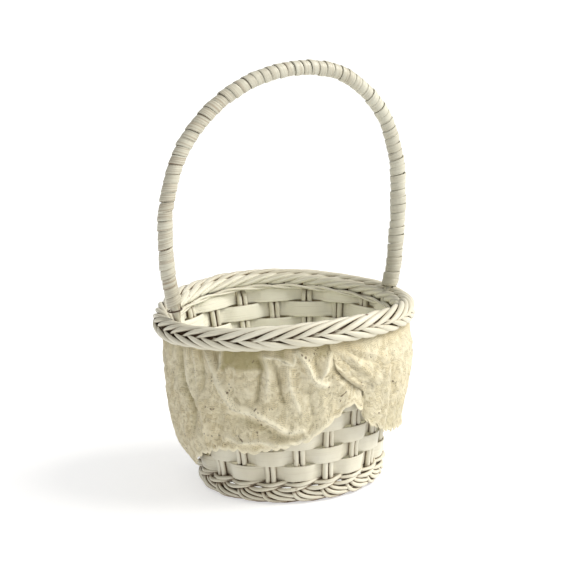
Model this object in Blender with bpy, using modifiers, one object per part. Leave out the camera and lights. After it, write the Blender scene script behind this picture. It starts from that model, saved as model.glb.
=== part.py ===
"""Flower girl basket: a small round wicker basket with a hooped handle and a lace ruffle.

Twenty pairs of round rods stand on a rolled foot border and carry ten rows of flat splint.
A three-strand plait closes the rim. One hoop, wrapped in flat reed, is pushed down into the
weave at both sides, and a gathered lace sleeve hangs from under the rim.
Metres, +Z up, origin at the centre of the foot on the table. Sizes below are millimetres.
"""

import math

import bmesh
import bpy
from mathutils import Vector

MM = 0.001
GAP = 0.3

# Stakes: pairs of round rods that lean outwards
STAKE_COUNT = 20
STAKE_PITCH = 2 * math.pi / STAKE_COUNT
FIRST_STAKE = math.radians(-12.9)
ROD_RADIUS = 2.2
ROD_SPREAD = 2.0
STAKE_FOOT_Z = 11.8
STAKE_TOP_Z = 133.0
STAKE_FOOT_RADIUS = 71.0
STAKE_LEAN = math.atan2(20.0, 126.0)
SHORT_STAKE_TOP_Z = 72.0
HANDLE_STAKES = (7, 17)

# Weavers: closed hoops of flat splint, in front of one stake pair and behind the next
ROW_START_Z = 17.9
ROW_HEIGHTS = [13.3] * 4 + [9.9] * 4 + [13.1, 11.2]
ROW_GAP = 0.4
SPLINT_THICKNESS = 1.2
SPLINT_OFFSET = ROD_RADIUS + GAP + SPLINT_THICKNESS / 2
SPLINT_CONTACT = math.radians(3.4)

# Rim: a plait of three strands around a ring
RIM_RADIUS = 96.4
RIM_Z = 139.5
RIM_STRANDS = 3
RIM_PERIODS = 13
RIM_STEPS = 10
RIM_STRAND_RADIUS = 1.7
RIM_MEAN_DEPTH = 4.9
RIM_WEAVE_DEPTH = 3.4
RIM_MIDDLE_ANGLE = math.radians(45)
RIM_SWING = math.radians(95)
RIM_BULGE = 2.8
RIM_BULGE_WIDTH = math.radians(6)

# Foot: a rope of four strands, cut level where it stands
FOOT_RADIUS = 68.6
FOOT_Z = 4.8
FOOT_STRANDS = 4
FOOT_TURNS = 5
FOOT_STEPS = 10
FOOT_COIL_RADIUS = 3.4
FOOT_STRAND_RADIUS = 2.1

# Twining: two thin rods that cross between the stakes above the foot
TWINE_Z = 14.4
TWINE_RADIUS = 1.3
TWINE_REACH = 4.3
TWINE_RISE = 1.55

# Base board
BOARD_RADIUS = 65.2
BOARD_BOTTOM_Z = 11.1
BOARD_THICKNESS = 3.0

# Handle: one hoop in an upright plane through two opposite stakes
HANDLE_AZIMUTH = FIRST_STAKE + HANDLE_STAKES[0] * STAKE_PITCH - math.pi / 2
CORE_RADIUS = 4.0
CORE_TIP_RADIUS = 2.1
CORE_TAPER_Z = (146.0, 154.0)
WRAP_START_Z = 153.5
WRAP_THICKNESS = 0.9
WRAP_RADIUS = 5.1
WRAP_PITCHES = (7.7, 6.0)
WRAP_GAP = 0.45
WRAP_SIDES = 7

# Lace sleeve: radius against height, and the height of its hem around the basket in degrees
LACE_THICKNESS = 0.6
LACE_TOP_Z = 131.0
LACE_PROFILE = [(131, 98.0), (105, 101.0), (78, 99.0), (55, 92.5), (30, 85.0)]
LACE_LEVELS = 4
LACE_SIDES = 60
LACE_HEM = [
    (-83, 42), (-62, 31), (-40, 44), (0, 48), (34, 75), (60, 45),
    (90, 34), (130, 46), (175, 38), (225, 47),
]


def clear_scene():
    for obj in list(bpy.data.objects):
        bpy.data.objects.remove(obj, do_unlink=True)


def add_collection(name):
    collection = bpy.data.collections.new(name)
    bpy.context.scene.collection.children.link(collection)
    return collection


def principled(name, colour, roughness):
    material = bpy.data.materials.new(name)
    material.use_nodes = True
    shader = material.node_tree.nodes["Principled BSDF"]
    shader.inputs["Base Color"].default_value = (*colour, 1.0)
    shader.inputs["Roughness"].default_value = roughness
    shader.inputs["Metallic"].default_value = 0.0
    material.diffuse_color = (*colour, 1.0)
    return material


def add_object(name, data, collection, colour, roughness):
    obj = bpy.data.objects.new(name, data)
    collection.objects.link(obj)
    obj.data.materials.clear()
    obj.data.materials.append(principled(name, colour, roughness))
    return obj


def around(radius, angle, z):
    """A point in metres: angle 0 is the front (-Y), growing towards +X."""
    return Vector((radius * math.sin(angle), -radius * math.cos(angle), z)) * MM


def stake_radius(z):
    return STAKE_FOOT_RADIUS + (z - 12.0) * math.tan(STAKE_LEAN)


def stake_angle(index):
    return FIRST_STAKE + index * STAKE_PITCH


def interpolate(knots, x):
    """Piecewise linear value at x of (x, value) knots sorted by x."""
    for (x0, y0), (x1, y1) in zip(knots, knots[1:]):
        if x <= x1:
            return y0 + (y1 - y0) * max(0.0, x - x0) / (x1 - x0)
    return knots[-1][1]


def catmull_rom(p0, p1, p2, p3, t):
    return 0.5 * (
        2 * p1 + (p2 - p0) * t + (2 * p0 - 5 * p1 + 4 * p2 - p3) * t**2
        + (3 * p1 - p0 - 3 * p2 + p3) * t**3
    )


# ---- shared shapes -------------------------------------------------------------------------


def skin_loops(loops, closed):
    """A mesh surface bridged between consecutive loops of points."""
    bm = bmesh.new()
    rings = []
    for loop in loops:
        verts = [bm.verts.new(point) for point in loop]
        last = len(verts) if closed else len(verts) - 1
        rings.append([bm.edges.new((verts[i], verts[(i + 1) % len(verts)])) for i in range(last)])
    for lower, upper in zip(rings, rings[1:]):
        bmesh.ops.bridge_loops(bm, edges=lower + upper)
    bmesh.ops.recalc_face_normals(bm, faces=bm.faces)
    mesh = bpy.data.meshes.new("surface")
    bm.to_mesh(mesh)
    bm.free()
    return mesh


def add_sheet(name, loops, closed, thickness, collection, colour, roughness):
    obj = add_object(name, skin_loops(loops, closed), collection, colour, roughness)
    solid = obj.modifiers.new("thickness", "SOLIDIFY")
    solid.thickness = thickness * MM
    solid.offset = 0.0
    obj.data.shade_smooth()
    return obj


def strand_curve(name, points, radius, resolution, closed=True, radii=None):
    curve = bpy.data.curves.new(name, "CURVE")
    curve.dimensions = "3D"
    curve.bevel_depth = radius * MM
    curve.bevel_resolution = resolution
    curve.use_fill_caps = not closed
    spline = curve.splines.new("POLY")
    spline.points.add(len(points) - 1)
    for index, point in enumerate(points):
        spline.points[index].co = (*point, 1.0)
        if radii:
            spline.points[index].radius = radii[index] / radius
    spline.use_cyclic_u = closed
    spline.use_smooth = True
    return curve


# ---- base, stakes and weavers --------------------------------------------------------------


def add_base_board(collection):
    bm = bmesh.new()
    bmesh.ops.create_cone(
        bm, cap_ends=True, segments=64, depth=BOARD_THICKNESS * MM,
        radius1=BOARD_RADIUS * MM, radius2=BOARD_RADIUS * MM,
    )
    mesh = bpy.data.meshes.new("base_board")
    bm.to_mesh(mesh)
    bm.free()
    board = add_object("base_board", mesh, collection, (0.72, 0.68, 0.58), 0.6)
    board.location.z = (BOARD_BOTTOM_Z + BOARD_THICKNESS / 2) * MM


def pair_outline():
    """The outline of two touching rods side by side, as one closed loop."""
    meeting = math.acos(-ROD_SPREAD / ROD_RADIUS)
    right = [-meeting + meeting * step / 3 for step in range(7)]
    outline = [(ROD_SPREAD + ROD_RADIUS * math.cos(a), ROD_RADIUS * math.sin(a)) for a in right]
    outline += [(-x, -y) for x, y in outline[1:-1]]
    return outline


def stake_mesh(name, length):
    bm = bmesh.new()
    foot = bm.faces.new([bm.verts.new((x * MM, y * MM, 0)) for x, y in pair_outline()])
    grown = bmesh.ops.extrude_face_region(bm, geom=[foot])
    top = [item for item in grown["geom"] if isinstance(item, bmesh.types.BMVert)]
    bmesh.ops.translate(bm, verts=top, vec=(0, 0, length * MM))
    bmesh.ops.recalc_face_normals(bm, faces=bm.faces)
    mesh = bpy.data.meshes.new(name)
    bm.to_mesh(mesh)
    bm.free()
    mesh.shade_smooth()
    mesh.set_sharp_from_angle(angle=math.radians(50))
    return mesh


def add_stakes(collection):
    slope = math.cos(STAKE_LEAN)
    full = stake_mesh("stake_pair", (STAKE_TOP_Z - STAKE_FOOT_Z) / slope)
    short = stake_mesh("stake_pair_short", (SHORT_STAKE_TOP_Z - STAKE_FOOT_Z) / slope)
    for index in range(STAKE_COUNT):
        mesh = (short if index in HANDLE_STAKES else full).copy()
        name = f"stake_pair_{index + 1:02d}"
        stake = add_object(name, mesh, collection, (0.70, 0.66, 0.56), 0.5)
        stake.location = around(stake_radius(STAKE_FOOT_Z), stake_angle(index), STAKE_FOOT_Z)
        stake.rotation_euler = (STAKE_LEAN, 0, stake_angle(index))


def add_weavers(collection):
    bottom = ROW_START_Z
    for row, height in enumerate(ROW_HEIGHTS):
        loops = []
        for z in (bottom, bottom + height - ROW_GAP):
            loop = []
            for stake in range(STAKE_COUNT):
                outside = 1 if (row + stake) % 2 else -1
                radius = stake_radius(z) + outside * SPLINT_OFFSET
                for side in (-1, 1):
                    loop.append(around(radius, stake_angle(stake) + side * SPLINT_CONTACT, z))
            loops.append(loop)
        name = f"weaver_row_{row + 1:02d}"
        add_sheet(name, loops, True, SPLINT_THICKNESS, collection, (0.76, 0.73, 0.63), 0.45)
        bottom += height


# ---- borders -------------------------------------------------------------------------------


def leg_bulge(angle):
    """How far the plait bows out to let the handle's two ends through."""
    bulge = 0.0
    for stake in HANDLE_STAKES:
        away = (angle - stake_angle(stake) + math.pi) % (2 * math.pi) - math.pi
        bulge += RIM_BULGE * math.exp(-((away / RIM_BULGE_WIDTH) ** 2))
    return bulge


def rim_point(strand, angle):
    phase = RIM_PERIODS * angle + 2 * math.pi * strand / RIM_STRANDS
    section = RIM_MIDDLE_ANGLE + RIM_SWING * math.sin(phase)
    depth = RIM_MEAN_DEPTH + RIM_WEAVE_DEPTH * math.sin(2 * phase)
    radius = RIM_RADIUS + leg_bulge(angle) + depth * math.cos(section)
    return around(radius, angle, RIM_Z + depth * math.sin(section))


def add_rim_plait(collection):
    steps = RIM_PERIODS * RIM_STEPS
    for strand in range(RIM_STRANDS):
        points = [rim_point(strand, 2 * math.pi * i / steps) for i in range(steps)]
        name = f"rim_strand_{strand + 1}"
        curve = strand_curve(name, points, RIM_STRAND_RADIUS, 1)
        add_object(name, curve, collection, (0.72, 0.68, 0.58), 0.5)


def foot_point(strand, turn):
    """A point on a strand after it has wound by this angle around the rope's middle."""
    angle = (2 * math.pi * strand / FOOT_STRANDS - turn) / FOOT_TURNS
    radius = FOOT_RADIUS + FOOT_COIL_RADIUS * math.cos(turn)
    return around(radius, angle, FOOT_Z + FOOT_COIL_RADIUS * math.sin(turn))


def add_floor_cutter(collection):
    bpy.ops.mesh.primitive_cube_add(size=0.2, location=(0, 0, -0.1))
    cutter = bpy.context.object
    cutter.name = "floor_cutter"
    for owner in list(cutter.users_collection):
        owner.objects.unlink(cutter)
    collection.objects.link(cutter)
    cutter.hide_render = True
    cutter.display_type = "WIRE"
    return cutter


def add_foot_rope(collection, cutter):
    """Four strands laid as a rope; their undersides are levelled so the basket stands flat."""
    step = 2 * math.pi / FOOT_STEPS
    lowest = -math.pi / 2
    turns = [lowest + (i + 0.5) * step for i in range(FOOT_STEPS * FOOT_TURNS)]
    for strand in range(FOOT_STRANDS):
        points = [foot_point(strand, turn) for turn in turns]
        name = f"foot_strand_{strand + 1}"
        curve = strand_curve(name, points, FOOT_STRAND_RADIUS, 1)
        coil = bpy.data.objects.new("coil", curve)
        collection.objects.link(coil)
        bpy.context.view_layer.update()
        evaluated = coil.evaluated_get(bpy.context.evaluated_depsgraph_get())
        mesh = bpy.data.meshes.new_from_object(evaluated)
        bpy.data.objects.remove(coil, do_unlink=True)
        rope = add_object(name, mesh, collection, (0.66, 0.61, 0.50), 0.55)
        level = rope.modifiers.new("level", "BOOLEAN")
        level.operation = "DIFFERENCE"
        level.object = cutter


def twine_point(side, angle):
    phase = (angle - FIRST_STAKE) * STAKE_COUNT / 2
    radius = stake_radius(TWINE_Z) + side * TWINE_REACH * math.cos(phase)
    return around(radius, angle, TWINE_Z + side * TWINE_RISE * math.sin(phase))


def add_foot_twining(collection):
    steps = STAKE_COUNT * 3
    for number, side in enumerate((1, -1), start=1):
        angles = [FIRST_STAKE + 2 * math.pi * i / steps for i in range(steps)]
        points = [twine_point(side, angle) for angle in angles]
        name = f"twining_rod_{number}"
        curve = strand_curve(name, points, TWINE_RADIUS, 0)
        add_object(name, curve, collection, (0.66, 0.61, 0.50), 0.55)


# ---- handle --------------------------------------------------------------------------------


def handle_knots():
    """The hoop's centreline in its own plane: distance from the axis, height."""
    tip = (stake_radius(75), 75)
    weave = (stake_radius(124), 124)
    low_rim, high_rim = (90.5, 136), (90.8, 144)
    left = [(-x, z) for x, z in (tip, weave, low_rim, high_rim)]
    left += [(-93.2, 154), (-95.4, 170), (-96.5, 192), (-94.2, 230), (-80.7, 270), (-54.5, 301)]
    crown = [(-20, 322), (18, 329.7), (52, 325)]
    right = [(77, 308), (94.5, 284), (104.2, 250), (104.9, 212), (99.9, 172), (94.4, 154)]
    return left + crown + right + [high_rim, low_rim, weave, tip]


def handle_path(steps_per_span=10):
    """Points along the centreline as (plane distance, height, arc length)."""
    knots = [Vector(knot) for knot in handle_knots()]
    knots = [2 * knots[0] - knots[1]] + knots + [2 * knots[-1] - knots[-2]]
    points = []
    for span in range(len(knots) - 3):
        for step in range(steps_per_span):
            points.append(catmull_rom(*knots[span : span + 4], step / steps_per_span))
    points.append(knots[-2])
    lengths = [0.0]
    for a, b in zip(points, points[1:]):
        lengths.append(lengths[-1] + (b - a).length)
    return points, lengths


def in_plane(point, across=0.0):
    """A hoop-plane point (distance, height) moved sideways out of the plane, in metres."""
    c, s = math.cos(HANDLE_AZIMUTH), math.sin(HANDLE_AZIMUTH)
    return Vector((point[0] * c - across * s, point[0] * s + across * c, point[1])) * MM


def core_radius(z):
    knots = [(0, CORE_TIP_RADIUS), (CORE_TAPER_Z[0], CORE_TIP_RADIUS), (CORE_TAPER_Z[1], CORE_RADIUS)]
    return interpolate(knots, z)


def add_handle_core(collection):
    points, _ = handle_path(steps_per_span=2)
    radii = [core_radius(point[1]) for point in points]
    centreline = [in_plane(point) for point in points]
    curve = strand_curve("handle_core", centreline, CORE_RADIUS, 2, closed=False, radii=radii)
    add_object("handle_core", curve, collection, (0.62, 0.55, 0.42), 0.6)


def add_handle_wrap(collection):
    """One flat reed wound around the hoop from above one side of the rim to the other."""
    points, lengths = handle_path()
    knots_x = [(length, point[0]) for length, point in zip(lengths, points)]
    knots_z = [(length, point[1]) for length, point in zip(lengths, points)]
    wrapped = [length for length, point in zip(lengths, points) if point[1] >= WRAP_START_Z]
    start, end = wrapped[0], wrapped[-1]

    def centre(length):
        return Vector((interpolate(knots_x, length), interpolate(knots_z, length)))

    edges = ([], [])
    at, turn = start + WRAP_PITCHES[0] / 2, 0.0
    while at < end - WRAP_PITCHES[1] / 2:
        share = (at - start) / (end - start)
        pitch = WRAP_PITCHES[0] + (WRAP_PITCHES[1] - WRAP_PITCHES[0]) * share
        for edge, side in zip(edges, (-0.5, 0.5)):
            length = at + side * (pitch - WRAP_GAP)
            along = (centre(length + 1) - centre(length - 1)).normalized()
            outward = Vector((along.y, -along.x))
            point = centre(length) + outward * WRAP_RADIUS * math.cos(turn)
            edge.append(in_plane(point, WRAP_RADIUS * math.sin(turn)))
        turn += 2 * math.pi / WRAP_SIDES
        at += pitch / WRAP_SIDES
    add_sheet("handle_wrap", edges, False, WRAP_THICKNESS, collection, (0.76, 0.73, 0.63), 0.45)


# ---- lace ----------------------------------------------------------------------------------


def hem_height(angle_deg):
    """Height of the hem, eased between its knots all the way round."""
    knots = LACE_HEM + [(LACE_HEM[0][0] + 360, LACE_HEM[0][1])]
    at = (angle_deg - knots[0][0]) % 360 + knots[0][0]
    for (a0, z0), (a1, z1) in zip(knots, knots[1:]):
        if at <= a1:
            share = 0.5 - 0.5 * math.cos(math.pi * (at - a0) / (a1 - a0))
            return z0 + (z1 - z0) * share
    return knots[-1][1]


def add_lace_sleeve(collection):
    profile = sorted(LACE_PROFILE)
    loops = []
    for level in range(LACE_LEVELS + 1):
        loop = []
        for side in range(LACE_SIDES):
            angle = 2 * math.pi * side / LACE_SIDES
            hem = hem_height(math.degrees(angle))
            z = LACE_TOP_Z + (hem - LACE_TOP_Z) * level / LACE_LEVELS
            loop.append(around(interpolate(profile, z), angle, z))
        loops.append(loop)
    add_sheet("lace_ruffle", loops, True, LACE_THICKNESS, collection, (0.80, 0.76, 0.62), 0.8)


def build():
    clear_scene()
    basket = add_collection("flower_girl_basket")
    cutters = add_collection("cutters")
    add_base_board(basket)
    add_stakes(basket)
    add_weavers(basket)
    add_foot_rope(basket, add_floor_cutter(cutters))
    add_foot_twining(basket)
    add_rim_plait(basket)
    add_handle_core(basket)
    add_handle_wrap(basket)
    add_lace_sleeve(basket)


build()
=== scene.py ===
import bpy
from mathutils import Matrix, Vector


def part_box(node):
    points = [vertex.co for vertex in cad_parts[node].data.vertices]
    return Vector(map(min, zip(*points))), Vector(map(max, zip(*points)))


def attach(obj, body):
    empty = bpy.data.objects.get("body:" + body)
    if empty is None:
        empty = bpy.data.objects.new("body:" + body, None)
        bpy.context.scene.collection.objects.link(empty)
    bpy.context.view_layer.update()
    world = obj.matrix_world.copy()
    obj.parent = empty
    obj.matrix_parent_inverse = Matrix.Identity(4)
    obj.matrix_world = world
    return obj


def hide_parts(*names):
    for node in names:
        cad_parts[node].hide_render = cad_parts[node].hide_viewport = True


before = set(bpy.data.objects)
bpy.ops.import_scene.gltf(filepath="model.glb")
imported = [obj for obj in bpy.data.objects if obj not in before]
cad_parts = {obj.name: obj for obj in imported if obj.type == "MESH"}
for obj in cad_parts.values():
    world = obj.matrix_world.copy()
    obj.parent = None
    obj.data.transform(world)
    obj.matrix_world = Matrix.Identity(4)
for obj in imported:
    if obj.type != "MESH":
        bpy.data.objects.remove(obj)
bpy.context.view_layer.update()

# Flower girl basket: the looks. Lengths in this file are millimetres until a mesh is made.
# Angles go around the basket from the front (-Y) towards +X.

import math

import bpy
import numpy as np
from mathutils import Matrix, Vector

MM = 0.001

rng = np.random.default_rng(7)


def heights(name):
    """The bottom and the top of a CAD node."""
    low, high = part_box(name)
    return low.z / MM, high.z / MM


def azimuth(name):
    """The angle around the basket at which a CAD node stands."""
    low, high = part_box(name)
    middle = (low + high) / 2
    return math.atan2(middle.x, -middle.y)


STAKES = 20
PITCH = 2 * math.pi / STAKES
FIRST_STAKE = azimuth("stake_pair_01")
ROWS = [heights(f"weaver_row_{row:02d}") for row in range(1, 11)]

# the body is a cone that the stakes' middles stand on
BODY_FOOT_RADIUS, BODY_FOOT_Z = 71.0, 12.0
STAKE_LEAN = math.atan2(20.0, 126.0)
STAKE_FOOT_Z, STAKE_TOP_Z = 7.0, 137.0
# a CAD stake pair that ends lower than this is one whose place a leg of the handle takes
SHORT_STAKE_Z = 100.0
ROD = 2.15
# how far a splint swings off the stakes' circle, and how quickly it changes sides
SPLINT_OFFSET, SPLINT_SNAP = 2.85, 1.35
SPLINT_HALF_THICKNESS = 0.55

RIM_RADIUS, RIM_Z = 96.4, 137.4
RIM_LEG_DIP, RIM_BACK_RISE = 3.4, 0.4
RIM_TALL = 1.10
RIM_RODS = 40

FOOT_RADIUS, FOOT_Z = 68.6, 4.8

# the hoop takes over from stake pairs 8 and 18; this is pair 8, counted from 0
HANDLE_STAKE = 7
HANDLE_AZIMUTH = FIRST_STAKE + HANDLE_STAKE * PITCH - math.pi / 2
WRAP_START_Z, WRAP_END_Z = 149.5, 142.0
# the reed: steps per turn, its pitch at the left leg and how much it loses up to the right one
WRAP_STEPS, WRAP_PITCH, WRAP_PITCH_LOSS = 28, 7.6, 1.6
WRAP_RADIUS, WRAP_HALF_THICKNESS, WRAP_TILT = 5.25, 0.62, 0.10
WRAP_HALF_WIDTH = 0.515  # of the pitch, so that the turns overlap a little

SKY, SKY_SLOPE, WINDOW = 0.53, 0.21, 2.85
WINDOW_DIRECTION = (0.80, -0.09, 0.66)
# degrees, then metres
CAMERA_ELEVATION, CAMERA_ROLL = 13.16, -2.68
CAMERA_DISTANCE, CAMERA_AIM_Z = 1.3482, 0.150
# millimetres on a 36 mm frame, and the shift that puts the basket off the picture's middle
CAMERA_LENS, CAMERA_SHIFT = 105.5, (0.0085, 0.0108)
# the floor lies just under the foot, so that the two share no face
FLOOR_Z = -0.0004
FLOOR_GLOW = 0.56


# ---- small geometry helpers ----------------------------------------------------------------


def around(radius, angle, z):
    """Points at a radius, an angle and a height; any of them may be an array."""
    radius, angle, z = np.broadcast_arrays(radius, angle, z)
    return np.stack([radius * np.sin(angle), -radius * np.cos(angle), z], -1).astype(float)


def stake_radius(z):
    return BODY_FOOT_RADIUS + (z - BODY_FOOT_Z) * math.tan(STAKE_LEAN)


def stake_angle(index):
    return FIRST_STAKE + index * PITCH


def smooth_knots(knots, steps):
    """A Catmull-Rom curve through rows of numbers, with steps points per span."""
    knots = np.array(knots, float)
    padded = np.vstack([2 * knots[0] - knots[1], knots, 2 * knots[-1] - knots[-2]])
    t = (np.arange(steps) / steps)[:, None]
    spans = []
    for p0, p1, p2, p3 in zip(padded, padded[1:], padded[2:], padded[3:]):
        spans.append(0.5 * (2 * p1 + (p2 - p0) * t + (2 * p0 - 5 * p1 + 4 * p2 - p3) * t**2
                            + (3 * p1 - p0 - 3 * p2 + p3) * t**3))
    return np.vstack(spans + [knots[-1:]])


def unit(vectors):
    return vectors / np.maximum(np.linalg.norm(vectors, axis=-1, keepdims=True), 1e-12)


def directions(points, closed):
    if closed:
        return unit(np.roll(points, -1, 0) - np.roll(points, 1, 0))
    return unit(np.gradient(points, axis=0))


def smoothstep(low, high, x):
    t = np.clip((x - low) / (high - low), 0, 1)
    return t * t * (3 - 2 * t)


class Builder:
    """Collects swept strips and rods into one mesh, with a grain coordinate at every point."""

    def __init__(self):
        self.points, self.faces, self.grain, self.total = [], [], [], 0

    def sweep(self, path, out, half_width, half_thickness, sides=10, power=2.0, closed=False):
        """Sweeps a rounded section along path; out is the section's thickness direction."""
        path = np.asarray(path, float)
        count = len(path)
        along = directions(path, closed)
        out = unit(out - (out * along).sum(-1, keepdims=True) * along)
        across = np.cross(along, out)
        turn = 2 * np.pi * (np.arange(sides) + 0.5) / sides
        wide = np.sign(np.cos(turn)) * np.abs(np.cos(turn)) ** (2 / power)
        thick = np.sign(np.sin(turn)) * np.abs(np.sin(turn)) ** (2 / power)
        half_width = np.broadcast_to(half_width, count)[:, None, None]
        half_thickness = np.broadcast_to(half_thickness, count)[:, None, None]
        rings = (path[:, None] + across[:, None] * (wide[None, :, None] * half_width)
                 + out[:, None] * (thick[None, :, None] * half_thickness))
        steps = np.linalg.norm(np.diff(path, axis=0), axis=1)
        length = np.concatenate([[0.0], np.cumsum(steps)])
        grain = np.empty((count, sides, 3))
        grain[..., 0] = length[:, None]
        grain[..., 1] = wide[None] * half_width[..., 0] + 0.35 * thick[None] * half_thickness[..., 0]
        grain[..., 2] = rng.uniform(0, 40)
        self.points.append(rings.reshape(-1, 3))
        self.grain.append(grain.reshape(-1, 3))
        last = count if closed else count - 1
        first = self.total
        for i in range(last):
            a, b = first + i * sides, first + (i + 1) % count * sides
            for j in range(sides):
                k = (j + 1) % sides
                self.faces.append((a + j, a + k, b + k, b + j))
        if not closed:
            self.faces.append(tuple(first + j for j in reversed(range(sides))))
            self.faces.append(tuple(first + (count - 1) * sides + j for j in range(sides)))
        self.total += count * sides

    def make(self, name, material, replaced, slot):
        mesh = bpy.data.meshes.new(name)
        mesh.from_pydata((np.vstack(self.points) * MM).tolist(), [], self.faces)
        grain = mesh.attributes.new("grain", "FLOAT_VECTOR", "POINT")
        grain.data.foreach_set("vector", (np.vstack(self.grain) * MM).ravel())
        mesh.shade_smooth()
        return add_piece(name, mesh, material, replaced)


def add_piece(name, mesh, material, replaced):
    mesh.validate()
    mesh.update()
    piece = bpy.data.objects.new(name, mesh)
    bpy.context.scene.collection.objects.link(piece)
    mesh.materials.append(material)
    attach(piece, "root")
    if replaced:
        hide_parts(*replaced)
    return piece


# ---- materials -----------------------------------------------------------------------------


class Nodes:
    """Shorthand for building a material's node tree."""

    def __init__(self, name):
        self.material = bpy.data.materials.new(name)
        self.material.use_nodes = True
        self.tree = self.material.node_tree
        self.shader = self.tree.nodes["Principled BSDF"]
        self.output = self.tree.nodes["Material Output"]

    def add(self, kind, inputs=None, **settings):
        node = self.tree.nodes.new(kind)
        for key, value in settings.items():
            setattr(node, key, value)
        for key, value in (inputs or {}).items():
            self.put(node.inputs[key], value)
        return node

    def put(self, socket, value):
        if isinstance(value, bpy.types.NodeSocket):
            self.tree.links.new(value, socket)
        else:
            socket.default_value = value

    def set(self, **inputs):
        for key, value in inputs.items():
            self.put(self.shader.inputs[key.replace("_", " ")], value)

    def math(self, operation, a, b=0.0, clamp=False):
        node = self.add("ShaderNodeMath", {0: a, 1: b}, operation=operation, use_clamp=clamp)
        return node.outputs[0]

    def scaled(self, vector, scale):
        node = self.add("ShaderNodeVectorMath", {0: vector, 1: scale}, operation="MULTIPLY")
        return node.outputs[0]

    def noise(self, vector, scale, detail=3.0, roughness=0.55):
        node = self.add("ShaderNodeTexNoise", {
            "Vector": vector, "Scale": scale, "Detail": detail, "Roughness": roughness,
        })
        return node.outputs["Fac"]

    def spread(self, value, low, high, out_low=0.0, out_high=1.0):
        node = self.add("ShaderNodeMapRange", {
            "Value": value, "From Min": low, "From Max": high,
            "To Min": out_low, "To Max": out_high,
        })
        return node.outputs["Result"]

    def mix(self, factor, a, b):
        node = self.add("ShaderNodeMix", data_type="RGBA", clamp_factor=True)
        self.put(node.inputs[0], factor)
        self.put(node.inputs[6], a if isinstance(a, bpy.types.NodeSocket) else (*a, 1.0))
        self.put(node.inputs[7], b if isinstance(b, bpy.types.NodeSocket) else (*b, 1.0))
        return node.outputs[2]

    def bump(self, height, strength, distance, normal=None):
        inputs = {"Height": height, "Strength": strength, "Distance": distance}
        if normal is not None:
            inputs["Normal"] = normal
        return self.add("ShaderNodeBump", inputs).outputs["Normal"]


CREAM = (0.735, 0.705, 0.580)
CREAM_SHADE = (0.610, 0.570, 0.440)
WRAP_CREAM = (0.655, 0.642, 0.530)
WRAP_SHADE = (0.530, 0.505, 0.400)
# pale cream for painted light on faces that look into the basket
INSIDE_PAINTED_LIGHT = (0.985, 0.970, 0.820)
# brown wash and painted shade for crevices, and nearly black for the deepest ones
BROWN_WASH_AND_SHADE = (0.230, 0.140, 0.070)
DARK_WASH_AND_SHADE = (0.050, 0.026, 0.012)
BARE_SPECK = (0.16, 0.075, 0.035)
# a dark brown rod colour, for real stain and for painted shade in gaps and holes
STAIN_AND_SHADE, STAIN_AND_SHADE_DEEP = (0.10, 0.055, 0.028), (0.05, 0.027, 0.014)


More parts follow.
